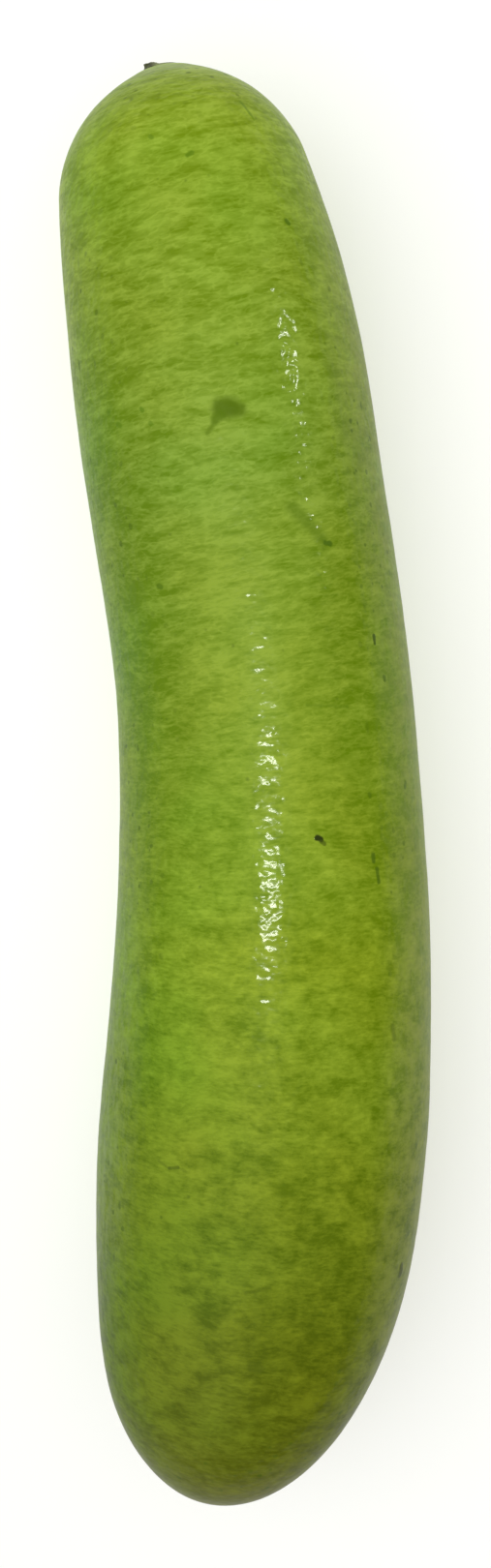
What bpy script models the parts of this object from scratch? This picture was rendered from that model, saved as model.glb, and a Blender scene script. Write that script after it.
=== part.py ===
# A long bottle gourd, picked with a short stub of its stem and laid on its side.
#
# It lies along +Y with the stem end at +Y, and its bend lies flat on the surface, z = 0.
# The fruit grew as one piece, so it is one solid. The stub of its stalk is the other.

import math

import bmesh
import bpy
import numpy as np
from mathutils import Matrix, Vector

MM = 0.001

# The line through the middle of the fruit, from the stem end to the blossom end, in millimetres.
# STATIONS are distances along the gourd. SIDEWAYS is its bend, and HEIGHT is above the surface.
LENGTH = 380.0
STATIONS = (0, 60, 130, 190, 250, 320, 380)
SIDEWAYS = (-22.0, -11.0, 0.0, 6.5, 6.5, 1.0, -10.5)
HEIGHT = (30.5, 36.9, 38.6, 40.1, 42.0, 43.2, 44.0)

# Its girth: the radius of the body before its ends are rounded off as half ellipses.
GIRTH_STATIONS = (0, 60, 120, 180, 240, 300, 380)
GIRTH = (29.0, 37.8, 39.3, 39.6, 42.0, 44.6, 52.0)
STEM_DOME = 29.0
BLOSSOM_DOME = 112.0
UPRIGHT_SHARE = 0.985

# The skin isn't quite round: faint lobes run along it, and low swellings come and go.
LOBES = ((3, 0.30, 0.9, 0.011), (5, 0.22, 2.4, -0.008))
SWELLINGS = ((1, 0.22, 0.3, 0.072), (2, 0.20, 1.9, 0.045))
EVEN_ENDS = 25.0

# The stem end, where flesh rises in a low collar, puckered by the stalk's five ridges.
STALK_SEAT_RADIUS = 6.6
COLLAR_REACH = 19.0
COLLAR_RISE = 1.3
PUCKERS = 10
PUCKER_DEPTH = 0.45
PUCKER_REACH = 30.0

# The blossom end, where the dried flower fell off and left a sunken corky scar with a nub.
# The last slice lies a little short of the tip, where the dome would close to a point.
SCAR_RADIUS = 5.2
SCAR_WALL = 2.1
SCAR_DEPTH = 0.7
SCAR_NUB = 0.9
LAST_SLICE_FROM_TIP = 0.12

# The weight presses two small flats into the underside.
PRESSED_FLAT = 0.45

# The stub of the stalk: five ridges, a flared foot, and a sloping knife cut with a pith hollow.
# It droops towards its long side, which is angled from the gourd's left towards its top.
STUB_LENGTH = 3.6
STUB_RADIUS = 4.9
STUB_FOOT_RADIUS = 6.3
STUB_FOOT_SHARE = 0.62
STUB_RIDGES = 5
STUB_RIDGE_HEIGHT = 0.55
STUB_CUT_SLOPE = 0.42
STUB_LONG_SIDE = math.radians(-70)
STUB_LEAN = math.radians(16)
PITH_RADIUS = 1.7
PITH_FLOOR_RADIUS = 1.2
PITH_DEPTH = 1.4
SEAT_GAP = 0.3

# Linear colours, with how rough each surface is: waxed green skin, and dried stalk.
SKIN_COLOUR = (0.20, 0.30, 0.02)
SKIN_ROUGHNESS = 0.42
STALK_COLOUR = (0.13, 0.13, 0.06)
STALK_ROUGHNESS = 0.75
SHARP_EDGE = math.radians(40)

AROUND = 60
RINGS = 54
STUB_AROUND = 40
STUB_RINGS = 7


def flexed(knots, values):
    """The smooth line that a thin flexible strip takes through these points."""
    knots = np.array(knots, float)
    values = np.array(values, float)
    gaps = np.diff(knots)
    slopes = np.diff(values) / gaps
    system = np.eye(len(knots))
    pull = np.zeros(len(knots))
    for i in range(1, len(knots) - 1):
        system[i, i - 1 : i + 2] = gaps[i - 1], 2 * (gaps[i - 1] + gaps[i]), gaps[i]
        pull[i] = 6 * (slopes[i] - slopes[i - 1])
    bend = np.linalg.solve(system, pull)

    def at(place):
        i = int(np.clip(np.searchsorted(knots, place) - 1, 0, len(gaps) - 1))
        before = place - knots[i]
        after = knots[i + 1] - place
        gap = gaps[i]
        return (
            (bend[i] * after**3 + bend[i + 1] * before**3) / (6 * gap)
            + (values[i] / gap - bend[i] * gap / 6) * after
            + (values[i + 1] / gap - bend[i + 1] * gap / 6) * before
        )

    return at


sideways_at = flexed(STATIONS, SIDEWAYS)
height_at = flexed(STATIONS, HEIGHT)
girth_at = flexed(GIRTH_STATIONS, GIRTH)


def middle(station):
    """The point of the middle line at this distance from the stem end."""
    return Vector((sideways_at(station), LENGTH / 2 - station, height_at(station)))


def axes_at(station):
    """Across, up and along, the three directions of a slice. Along points to the blossom end."""
    step = 0.5
    along = (middle(station + step) - middle(station - step)).normalized()
    across = along.cross(Vector((0, 0, 1))).normalized()
    return across, across.cross(along), along


def rounded_off(station):
    """The share of the girth that is left where the ends are rounded."""
    to_stem = max(0.0, 1 - station / STEM_DOME)
    to_blossom = max(0.0, 1 - (LENGTH - station) / BLOSSOM_DOME)
    return math.sqrt((1 - to_stem**2) * (1 - to_blossom**2))


def smooth_step(share):
    share = min(1.0, max(0.0, share))
    return share * share * (3 - 2 * share)


def unevenness(station, angle):
    """How far the skin stands off a true round, which dies away at both ends."""
    ends = smooth_step(station / EVEN_ENDS) * smooth_step((LENGTH - station) / EVEN_ENDS)
    lobes = sum(
        height * math.cos(count * angle + turn + drift * station)
        for count, height, turn, drift in LOBES
    )
    swellings = sum(
        height * math.cos(angle * count + turn) * math.sin(pace * station)
        for count, height, turn, pace in SWELLINGS
    )
    return ends * (lobes + swellings)


def skin_point(station, angle):
    """A point of the fruit's surface, in millimetres."""
    across, up, along = axes_at(station)
    radius = girth_at(station) * rounded_off(station) + unevenness(station, angle)
    if station < LENGTH / 2:
        fold = smooth_step(1 - radius / PUCKER_REACH) * smooth_step(radius / STALK_SEAT_RADIUS - 1)
        radius -= PUCKER_DEPTH * fold * (1 + math.cos(PUCKERS * angle))
        collar = smooth_step((COLLAR_REACH - radius) / (COLLAR_REACH - STALK_SEAT_RADIUS))
        lift = -COLLAR_RISE * collar**2
    else:
        lift = -SCAR_DEPTH * smooth_step((SCAR_RADIUS - radius) / SCAR_WALL)
    out = across * math.cos(angle) + up * (UPRIGHT_SHARE * math.sin(angle))
    return middle(station) + out * radius + along * lift


def slice_stations():
    """Where the slices lie: close together at the ends, where the skin turns fast."""
    first = STEM_DOME * (1 - math.sqrt(1 - (STALK_SEAT_RADIUS / GIRTH[0]) ** 2))
    last = LENGTH - LAST_SLICE_FROM_TIP
    shares = [(1 - math.cos(math.pi * i / (RINGS - 1))) / 2 for i in range(RINGS)]
    return [first + (last - first) * share for share in shares]


def add_ring(shape, count, place):
    """A closed ring of edges whose corners place() puts by their angle."""
    corners = bmesh.ops.create_circle(shape, segments=count, radius=1.0)["verts"]
    for corner in corners:
        corner.co = place(math.atan2(corner.co.y, corner.co.x))
    return list({edge for corner in corners for edge in corner.link_edges})


def bridge(shape, rings):
    for near, far in zip(rings, rings[1:]):
        bmesh.ops.bridge_loops(shape, edges=near + far)


def cap(shape, ring):
    bmesh.ops.edgeloop_fill(shape, edges=ring)


def bring_to_point(shape, ring, point):
    """Closes a ring with a fan of faces that meet in one point."""
    ends = bmesh.ops.extrude_edge_only(shape, edges=ring)["geom"]
    corners = [item for item in ends if isinstance(item, bmesh.types.BMVert)]
    bmesh.ops.pointmerge(shape, verts=corners, merge_co=point)


def press_flat(shape):
    """Cuts off what the surface presses in, which leaves the flats that the gourd rests on."""
    everything = shape.verts[:] + shape.edges[:] + shape.faces[:]
    cut = bmesh.ops.bisect_plane(
        shape, geom=everything, dist=1e-6, plane_co=(0, 0, 0), plane_no=(0, 0, 1), clear_inner=True
    )
    rim = [item for item in cut["geom_cut"] if isinstance(item, bmesh.types.BMEdge)]
    bmesh.ops.edgeloop_fill(shape, edges=rim)


def make_object(name, shape, colour, roughness):
    """A smooth-shaded object with a plain material, from a shape in millimetres."""
    bmesh.ops.scale(shape, vec=(MM, MM, MM), verts=shape.verts)
    bmesh.ops.recalc_face_normals(shape, faces=shape.faces)
    mesh = bpy.data.meshes.new(name)
    shape.to_mesh(mesh)
    shape.free()
    mesh.shade_smooth()
    mesh.set_sharp_from_angle(angle=SHARP_EDGE)
    material = bpy.data.materials.new(name)
    material.use_nodes = True
    surface = material.node_tree.nodes["Principled BSDF"]
    surface.inputs["Base Color"].default_value = (*colour, 1)
    surface.inputs["Roughness"].default_value = roughness
    surface.inputs["Metallic"].default_value = 0.0
    mesh.materials.append(material)
    made = bpy.data.objects.new(name, mesh)
    bpy.context.collection.objects.link(made)
    return made


def make_fruit(drop):
    """The fruit. drop is how far the modelled middle line sinks to press its flats."""
    shape = bmesh.new()
    down = Vector((0, 0, drop))
    rings = [
        add_ring(shape, AROUND, lambda angle, s=station: skin_point(s, angle) - down)
        for station in slice_stations()
    ]
    bridge(shape, rings)
    cap(shape, rings[0])
    _, _, along = axes_at(LENGTH)
    nub = middle(LENGTH) + along * (SCAR_NUB - SCAR_DEPTH) - down
    bring_to_point(shape, rings[-1], nub)
    press_flat(shape)
    return make_object("fruit", shape, SKIN_COLOUR, SKIN_ROUGHNESS)


def lowest_skin():
    """The height of the fruit's lowest point before it is pressed flat."""
    turns = [2 * math.pi * i / AROUND for i in range(AROUND)]
    return min(skin_point(s, a).z for s in slice_stations() for a in turns)


def stub_lean(share):
    """How far the stub's middle has drooped sideways at this share of its length."""
    reach = math.tan(STUB_LEAN) * share**2 * STUB_LENGTH
    return Vector((math.cos(STUB_LONG_SIDE), math.sin(STUB_LONG_SIDE), 0)) * reach


def stub_point(share, angle):
    """A point of the stub's side in its own frame, where +Z runs from its foot to its cut."""
    risen = smooth_step(share / STUB_FOOT_SHARE)
    foot = (1 - risen) * (STUB_FOOT_RADIUS - STUB_RADIUS)
    ridge = risen * STUB_RIDGE_HEIGHT * math.cos(STUB_RIDGES * angle)
    radius = STUB_RADIUS + foot + ridge
    height = share * STUB_LENGTH * (1 + STUB_CUT_SLOPE * math.cos(angle - STUB_LONG_SIDE))
    return Vector((radius * math.cos(angle), radius * math.sin(angle), height)) + stub_lean(share)


def pith_point(radius, depth, angle):
    """A point of the hollow in the cut face, about this far from its middle."""
    rim = stub_point(1.0, angle)
    centre = stub_lean(1.0) + Vector((0, 0, STUB_LENGTH))
    return centre + (rim - centre) * (radius / STUB_RADIUS) - Vector((0, 0, depth))


def make_stem_stub():
    shape = bmesh.new()
    rings = [
        add_ring(shape, STUB_AROUND, lambda angle, s=i / STUB_RINGS: stub_point(s, angle))
        for i in range(STUB_RINGS + 1)
    ]
    for radius, depth in ((PITH_RADIUS, 0.0), (PITH_FLOOR_RADIUS, PITH_DEPTH)):
        pith = add_ring(shape, STUB_AROUND, lambda angle, r=radius, d=depth: pith_point(r, d, angle))
        rings.append(pith)
    bridge(shape, rings)
    cap(shape, rings[0])
    cap(shape, rings[-1])
    return make_object("stem_stub", shape, STALK_COLOUR, STALK_ROUGHNESS)


def seat_of_stub(drop):
    """Where the stub stands: a hair's breadth off the flat that the collar holds up."""
    station = slice_stations()[0]
    across, up, along = axes_at(station)
    foot = middle(station) - along * (COLLAR_RISE + SEAT_GAP) - Vector((0, 0, drop))
    turned = Matrix((across, up, -along)).transposed().to_4x4()
    return Matrix.Translation(foot * MM) @ turned


def centre_on_footprint(holder, pieces):
    """Moves the whole gourd so that the origin lies under the middle of its outline."""
    bpy.context.view_layer.update()
    corners = [piece.matrix_world @ v.co for piece in pieces for v in piece.data.vertices]
    for axis in (0, 1):
        values = [corner[axis] for corner in corners]
        holder.location[axis] -= (min(values) + max(values)) / 2


def main():
    for old in list(bpy.data.objects):
        bpy.data.objects.remove(old)
    drop = lowest_skin() + PRESSED_FLAT
    gourd = bpy.data.objects.new("gourd", None)
    bpy.context.collection.objects.link(gourd)
    fruit = make_fruit(drop)
    stem_stub = make_stem_stub()
    stem_stub.matrix_world = seat_of_stub(drop)
    for piece in (fruit, stem_stub):
        piece.parent = gourd
    centre_on_footprint(gourd, (fruit, stem_stub))


main()
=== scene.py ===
import math

import bpy
import numpy as np
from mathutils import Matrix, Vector, noise


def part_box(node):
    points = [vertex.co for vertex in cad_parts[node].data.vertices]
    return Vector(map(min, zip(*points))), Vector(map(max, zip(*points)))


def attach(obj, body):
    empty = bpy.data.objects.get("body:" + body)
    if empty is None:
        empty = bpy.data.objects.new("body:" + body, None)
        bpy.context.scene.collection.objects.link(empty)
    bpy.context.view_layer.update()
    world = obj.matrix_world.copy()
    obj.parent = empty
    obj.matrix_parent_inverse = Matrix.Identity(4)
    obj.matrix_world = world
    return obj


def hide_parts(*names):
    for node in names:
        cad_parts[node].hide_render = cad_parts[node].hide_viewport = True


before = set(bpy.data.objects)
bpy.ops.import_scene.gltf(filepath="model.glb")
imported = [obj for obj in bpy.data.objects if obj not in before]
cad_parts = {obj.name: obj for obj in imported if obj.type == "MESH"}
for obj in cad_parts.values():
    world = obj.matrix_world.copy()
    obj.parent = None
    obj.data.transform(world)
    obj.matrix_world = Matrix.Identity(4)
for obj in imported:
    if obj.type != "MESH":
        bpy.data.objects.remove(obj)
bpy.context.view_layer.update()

# The fruit: a young bottle gourd that grew as one body, firm spongy flesh under a thin green rind.
# It hung from its stalk, bowed to one side, and lies on its belly and its neck, which are
# pressed a little flat. Lengths are in millimetres, along the fruit from the stem end.

MM = 0.001
LENGTH = 380.0
# The middle line: how far right and how far up it runs at each station along the fruit.
SPINE_STATIONS = (0, 60, 130, 190, 250, 320, 380)
SPINE_SIDEWAYS = (-22.0, -11.0, 0.0, 6.5, 6.5, 1.0, -10.5)
SPINE_HEIGHT = (30.5, 36.9, 38.6, 40.1, 42.0, 43.2, 44.0)
# The girth, as the radius of the slices, which the domes round off over the length of each end.
GIRTH_STATIONS = (0, 60, 120, 180, 240, 300, 380)
GIRTH = (29.0, 37.8, 39.3, 39.6, 42.0, 44.6, 52.0)
STEM_DOME = 29.0
BLOSSOM_DOME = 112.0
UPRIGHT_SHARE = 0.985
# Low lobes: how many go round, their height, where they start and their twist in each mm.
LOBES = ((3, 0.30, 0.9, 0.011), (5, 0.22, 2.4, -0.008))
# Low swellings: how many go round, their height, where they start and their waves along.
SWELLINGS = ((1, 0.22, 0.3, 0.072), (2, 0.20, 1.9, 0.045))
EVEN_ENDS = 25.0
# The puckered collar round the stalk's seat, and the sunken scar of the blossom with its nub.
STALK_SEAT_RADIUS = 6.6
COLLAR_REACH = 19.0
COLLAR_RISE = 1.3
PUCKERS = 10
PUCKER_DEPTH = 0.45
PUCKER_REACH = 30.0
SCAR_RADIUS = 5.2
SCAR_WALL = 2.1
SCAR_DEPTH = 0.7
SCAR_NUB = 0.9
# Swells of the skin, which break up the outline of each glint: their size, height and seed.
SKIN_SWELLS = ((22.0, 0.15, 3.1), (8.0, 0.064, 17.7), (3.6, 0.038, 41.3))
CALM_REACH = 4.0
# The mesh: its rings over the skin, the points in each and the steps over the stalk's seat.
RINGS = 438
AROUND = 216
SEAT_STEPS = 4
LAST_RING_GAP = 0.45
FINE_STATIONS = 6000
TIP_MARGIN = 0.002


def flexed(knots, values):
    """The smooth line that a thin flexible strip takes through these points, for arrays."""
    knots = np.array(knots, float)
    values = np.array(values, float)
    gaps = np.diff(knots)
    slopes = np.diff(values) / gaps
    system = np.eye(len(knots))
    pull = np.zeros(len(knots))
    for i in range(1, len(knots) - 1):
        system[i, i - 1 : i + 2] = gaps[i - 1], 2 * (gaps[i - 1] + gaps[i]), gaps[i]
        pull[i] = 6 * (slopes[i] - slopes[i - 1])
    bend = np.linalg.solve(system, pull)

    def at(place):
        i = np.clip(np.searchsorted(knots, place) - 1, 0, len(gaps) - 1)
        before = place - knots[i]
        after = knots[i + 1] - place
        gap = gaps[i]
        return (
            (bend[i] * after**3 + bend[i + 1] * before**3) / (6 * gap)
            + (values[i] / gap - bend[i] * gap / 6) * after
            + (values[i + 1] / gap - bend[i + 1] * gap / 6) * before
        )

    return at


sideways_at = flexed(SPINE_STATIONS, SPINE_SIDEWAYS)
height_at = flexed(SPINE_STATIONS, SPINE_HEIGHT)
girth_at = flexed(GIRTH_STATIONS, GIRTH)


def middle(station):
    return np.stack([sideways_at(station), LENGTH / 2 - station, height_at(station)], -1)


def unit(vectors):
    return vectors / np.linalg.norm(vectors, axis=-1, keepdims=True)


def slice_axes(station):
    """Across, up and along for each slice. Along is taken over 1 mm, toward the blossom end."""
    along = unit(middle(station + 0.5) - middle(station - 0.5))
    across = unit(np.cross(along, (0.0, 0.0, 1.0)))
    return across, np.cross(across, along), along


def plain_radius(station):
    to_stem = np.clip(1 - station / STEM_DOME, 0, 1)
    to_blossom = np.clip(1 - (LENGTH - station) / BLOSSOM_DOME, 0, 1)
    return girth_at(station) * np.sqrt((1 - to_stem**2) * (1 - to_blossom**2))


def smooth_step(share):
    share = np.clip(share, 0, 1)
    return share * share * (3 - 2 * share)


def skin(station, angle):
    """Points of the fruit's surface. Station and angle are arrays that go together."""
    across, up, along = slice_axes(station)
    ends = smooth_step(station / EVEN_ENDS) * smooth_step((LENGTH - station) / EVEN_ENDS)
    uneven = sum(h * np.cos(n * angle + turn + drift * station) for n, h, turn, drift in LOBES)
    uneven = uneven + sum(
        h * np.cos(n * angle + turn) * np.sin(pace * station) for n, h, turn, pace in SWELLINGS
    )
    radius = plain_radius(station) + ends * uneven
    stem_half = station < LENGTH / 2
    fold = smooth_step(1 - radius / PUCKER_REACH) * smooth_step(radius / STALK_SEAT_RADIUS - 1)
    radius = radius - stem_half * PUCKER_DEPTH * fold * (1 + np.cos(PUCKERS * angle))
    collar = smooth_step((COLLAR_REACH - radius) / (COLLAR_REACH - STALK_SEAT_RADIUS))
    scar = smooth_step((SCAR_RADIUS - radius) / SCAR_WALL)
    lift = np.where(stem_half, -COLLAR_RISE * collar**2, -SCAR_DEPTH * scar)
    out = across * np.cos(angle)[..., None] + up * (UPRIGHT_SHARE * np.sin(angle))[..., None]
    return middle(station) + out * radius[..., None] + along * lift[..., None]


# The slices lie at even steps over the skin, from the stalk's seat to the blossom's tip. The way
# over the skin is measured on fine stations that crowd together at both ends.
seat_station = STEM_DOME * (1 - math.sqrt(1 - (STALK_SEAT_RADIUS / GIRTH[0]) ** 2))
tip_station = LENGTH - TIP_MARGIN
crowding = (1 - np.cos(np.linspace(0, np.pi, FINE_STATIONS))) / 2
fine = seat_station + (tip_station - seat_station) * crowding
steps = np.hypot(np.diff(fine), np.diff(plain_radius(fine)))
over_skin = STALK_SEAT_RADIUS + np.concatenate([[0.0], np.cumsum(steps)])
SKIN_LENGTH = float(over_skin[-1])
skin_runs = np.linspace(STALK_SEAT_RADIUS, SKIN_LENGTH - LAST_RING_GAP, RINGS)
stations = np.interp(skin_runs, over_skin, fine)

# The angle runs once round from the underside, where the unrolled skin has its seam.
turns = np.arange(AROUND + 1) / AROUND
angles = 2 * np.pi * turns - np.pi / 2
station_grid, angle_grid = np.meshgrid(stations, angles[:-1], indexing="ij")
points = skin(station_grid, angle_grid)

# The swells of the skin, along the line from the middle of each slice. They fade at both ends.
out_of_middle = unit(points - middle(station_grid))
calm_ends = smooth_step((station_grid - seat_station) / CALM_REACH)
calm_ends = calm_ends * smooth_step((LENGTH - station_grid) / CALM_REACH)
heights = np.zeros(points.shape[:2])
for size, height, seed in SKIN_SWELLS:
    offset = Vector((seed, -seed, 2 * seed))
    flat_points = (points / size).reshape(-1, 3)
    waves = [noise.noise(Vector(p) + offset) for p in flat_points]
    heights += height * np.array(waves).reshape(heights.shape)
points = points + out_of_middle * (heights * calm_ends)[..., None]

# Rings inside the seat and the two end points close the body.
seat_middle = points[0].mean(0)
tip_axes = slice_axes(np.array(LENGTH))
tip = middle(np.array(LENGTH)) + tip_axes[2] * (SCAR_NUB - SCAR_DEPTH)
seat_shares = np.linspace(0, 1, SEAT_STEPS + 1)[1:-1]
seat_rings = [seat_middle + (points[0] - seat_middle) * share for share in seat_shares]
points = np.concatenate([np.array(seat_rings), points])
ring_runs = np.concatenate([STALK_SEAT_RADIUS * seat_shares, skin_runs])
ring_stations = np.concatenate([np.full(len(seat_rings), seat_station), stations])
ring_count = len(points)

# Where each point lies from the middle of its slice, and how far over the skin from the stalk.
from_middle = points - middle(ring_stations)[:, None]
grain = np.stack(
    [from_middle[..., 0], from_middle[..., 2], np.repeat(ring_runs[:, None], AROUND, 1)], -1
)
grain = np.concatenate([grain.reshape(-1, 3), [(0, 0, 0), (0, 0, SKIN_LENGTH)]])


def on_skin(station, degrees_right):
    """The grain of a place on the fruit, by its distance along and its degrees from the top."""
    station = np.array(float(station))
    away = skin(station, np.array(math.radians(90 + degrees_right))) - middle(station)
    return Vector((away[0], away[2], float(np.interp(station, fine, over_skin))))


# Patches that are paler (+) or deeper (-): the distance along the fruit, degrees right of the top,
# half the length, half the width round the fruit, and the depth. The first five are broad. The first
# four of these are painted shade and painted light: deeper down both flanks and paler along the top,
# where the light falls. The rest are the skin's own.
PATCH_FALLOFF = 0.8
PATCHES = (
    (90, -54, 50, 11, -1.0),
    (165, -50, 60, 10, -1.1),
    (158, -5, 42, 10, 0.9),
    (185, 52, 60, 12, -1.0),
    (318, -38, 62, 14, 1.0),
    (36, 28, 3, 6, 0.7),
    (46, -4, 3, 7, 0.6),
    (47, 9, 3, 5, 0.5),
    (43, -24, 2, 5, 0.5),
    (64, 36, 9, 6, -0.5),
    (94, 47, 9, 5, -0.4),
    (85, 33, 8, 3, 0.3),
    (97, -55, 5, 5, 0.5),
    (104, -5, 12, 12, 0.3),
    (106, 38, 6, 4, 0.5),
    (123, 28, 3, 5, 0.6),
    (145, -12, 5, 5, 0.8),
    (146, 30, 8, 7, -0.4),
    (150, -38, 25, 6, -0.3),
    (177, 32, 12, 7, -0.5),
    (189, 8, 6, 8, 0.4),
    (199, 11, 6, 5, 0.6),
    (225, 16, 10, 8, -0.3),
    (240, -5, 8, 6, 0.5),
    (247, 32, 8, 8, 0.4),
    (255, -48, 20, 6, -0.4),
    (262, -22, 5, 12, 0.8),
    (270, -26, 8, 6, 0.5),
    (280, -2, 4, 10, 0.6),
    (281, 32, 7, 9, 0.5),
    (292, -4, 5, 5, 0.5),
    (297, -24, 5, 7, 0.5),
    (300, -46, 14, 6, -0.5),
    (304, -10, 3, 4, -0.6),
    (305, 20, 6, 12, -0.3),
    (312, -8, 5, 9, 0.7),
    (318, 12, 7, 7, 0.1),
    (329, -28, 4, 4, 0.5),
    (329, 21, 6, 6, -0.9),
    (338, -10, 6, 7, -0.4),
    (345, 25, 5, 6, 0.3),
    (352, -5, 6, 8, 0.4),
    (358, 15, 6, 9, -0.5),
)
# The painted shade and light of the first four broad rows go into these values with the skin's own
# patches.
growth = np.zeros(len(grain))
for station, degrees_right, half_long, half_round, depth in PATCHES:
    away = grain - np.array(on_skin(station, degrees_right))
    apart = (away[:, 2] / half_long) ** 2 + (away[:, 0] ** 2 + away[:, 1] ** 2) / half_round**2
    growth += depth * np.exp(-PATCH_FALLOFF * apart)

# The place: as in the solid model, the surface presses the underside flat at height 0.
fruit_low, fruit_high = (np.array(corner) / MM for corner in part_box("fruit"))
shape_low = points.reshape(-1, 3).min(0)
shape_high = points.reshape(-1, 3).max(0)
shift = (fruit_low + fruit_high) / 2 - (shape_low + shape_high) / 2
shift[2] = fruit_high[2] - shape_high[2]
all_points = np.concatenate([points.reshape(-1, 3), [seat_middle, tip]]) + shift
all_points[:, 2] = np.maximum(all_points[:, 2], 0.0)

quads = []
for ring in range(ring_count - 1):
    near = ring * AROUND
    far = near + AROUND
    for k in range(AROUND):
        after = (k + 1) % AROUND
        quads.append((near + k, near + after, far + after, far + k))
seat_centre = ring_count * AROUND
last_ring = seat_centre - AROUND
seat_fan = [((k + 1) % AROUND, k, seat_centre) for k in range(AROUND)]
tip_fan = [(last_ring + k, last_ring + (k + 1) % AROUND, seat_centre + 1) for k in range(AROUND)]

fruit_mesh = bpy.data.meshes.new("gourd_fruit")
fruit_mesh.from_pydata((all_points * MM).tolist(), [], quads + seat_fan + tip_fan)
fruit_mesh.shade_smooth()
grain_layer = fruit_mesh.attributes.new("grain", "FLOAT_VECTOR", "POINT")
grain_layer.data.foreach_set("vector", grain.ravel())
growth_and_shade_layer = fruit_mesh.attributes.new("growth", "FLOAT", "POINT")
growth_and_shade_layer.data.foreach_set("value", growth)

# The skin unrolled flat: round it from left to right, and along it from bottom to top.
MAP_MARGIN = 0.004
unrolled = []
rows = MAP_MARGIN + (1 - 2 * MAP_MARGIN) * ring_runs / SKIN_LENGTH
columns = MAP_MARGIN + (1 - 2 * MAP_MARGIN) * turns
for ring in range(ring_count - 1):
    for k in range(AROUND):
        unrolled += [
            (columns[k], rows[ring]),
            (columns[k + 1], rows[ring]),
            (columns[k + 1], rows[ring + 1]),
            (columns[k], rows[ring + 1]),
        ]
# Each fan's row, the height of its point, and which side of a column each face starts from.
for row, point_at, first, second in ((rows[0], MAP_MARGIN, 1, 0), (rows[-1], 1 - MAP_MARGIN, 0, 1)):
    for k in range(AROUND):
        between = (columns[k] + columns[k + 1]) / 2
        unrolled += [(columns[k + first], row), (columns[k + second], row), (between, point_at)]
fruit_map = fruit_mesh.uv_layers.new(name="OFBake")
fruit_map.data.foreach_set("uv", np.array(unrolled).ravel())

fruit = bpy.data.objects.new("gourd_fruit", fruit_mesh)
bpy.context.collection.objects.link(fruit)

# Gourd rind under its own wax: a smooth cuticle over green cells, lime at the young stem end and
# olive at the blossom end, where its colours also hold painted shade. It gives the eye a soft body
# colour with sharp broken glints.


def srgb(code):
    """A colour written as sRGB hex, as the linear values that the shaders work in."""
    parts = [int(code[i : i + 2], 16) / 255 for i in (1, 3, 5)]
    linear = [c / 12.92 if c <= 0.04045 else ((c + 0.055) / 1.055) ** 2.4 for c in parts]
    return (*linear, 1.0)


def add(tree, kind, settings=None, **links):
    """Adds a node. Settings are its own, with "stops" for the places and colours of a ramp,
    and links are values or sockets for its inputs, by name, or by number as i0, i1 and so on."""
    node = tree.nodes.new("ShaderNode" + kind)
    for name, value in (settings or {}).items():
        if name != "stops":
            setattr(node, name, value)
            continue
        while len(node.color_ramp.elements) < len(value):
            node.color_ramp.elements.new(0.5)
        for element, (place_on_ramp, code) in zip(node.color_ramp.elements, value):
            element.position = place_on_ramp
            element.color = srgb(code)
    for name, value in links.items():
        key = int(name[1:]) if name[0] == "i" and name[1:].isdigit() else name.replace("_", " ")
        if isinstance(value, bpy.types.NodeSocket):
            tree.links.new(value, node.inputs[key])
        else:
            node.inputs[key].default_value = value
    return node


rind = bpy.data.materials.new("waxed_gourd_rind")
rind.use_nodes = True
rind_tree = rind.node_tree
place = add(rind_tree, "Attribute", {"attribute_name": "grain"}).outputs["Vector"]
# The skin's own patches, with painted shade on the flanks and painted light along the top.
grown_and_shaded = add(rind_tree, "Attribute", {"attribute_name": "growth"}).outputs["Fac"]
parts_of_place = add(rind_tree, "SeparateXYZ", Vector=place)
run = parts_of_place.outputs["Z"]
share_along = add(rind_tree, "Math", {"operation": "DIVIDE"}, i0=run, i1=SKIN_LENGTH).outputs[0]

# The grain wanders: slow waves, 24 mm long, shift it by up to 4 mm along the fruit.
WANDER_SIZE = 24.0
WANDER_REACH = 4.5
wander = add(rind_tree, "TexNoise", Vector=place, Scale=1 / WANDER_SIZE, Detail=2.0)
wander_run = add(
    rind_tree, "Math", {"operation": "MULTIPLY"}, i0=wander.outputs["Fac"], i1=WANDER_REACH
)
wander_step = add(rind_tree, "CombineXYZ", Z=wander_run.outputs[0])
bent_place = add(
    rind_tree, "VectorMath", {"operation": "ADD"}, i0=place, i1=wander_step.outputs[0]
).outputs[0]

# Each pattern: the size of one mark of it in mm, across, up and along, its tilt, how many finer
# layers it has, and the strength of each beside the layer before.
PATTERNS = {
    "bands": ((9.0, 9.0, 2.6), (0.10, 0.04, 0), 2.0, 0.48),
    "patches": ((8.0, 8.0, 4.6), (0.0, 0.0, 0), 5.0, 0.72),
    "pale_strokes": ((6.5, 6.5, 1.3), (0.12, 0.04, 0), 1.5, 0.55),
    "dark_strokes": ((6.8, 6.8, 1.6), (-0.05, -0.06, 0), 2.0, 0.6),
    "threads": ((5.0, 5.0, 1.9), (0.20, 0.08, 0), 2.0, 0.6),
    "fine_cells": ((2.6, 2.6, 0.70), (0.08, 0.02, 0), 2.0, 0.6),
}
pattern = {}
for name, (mark_size, tilt, detail, roughness) in PATTERNS.items():
    laid = add(
        rind_tree,
        "Mapping",
        {"vector_type": "TEXTURE"},
        Vector=bent_place,
        Rotation=tilt,
        Scale=mark_size,
    ).outputs[0]
    texture = add(
        rind_tree, "TexNoise", Vector=laid, Scale=1.0, Detail=detail, Roughness=roughness
    )
    pattern[name] = texture.outputs["Fac"]

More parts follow.
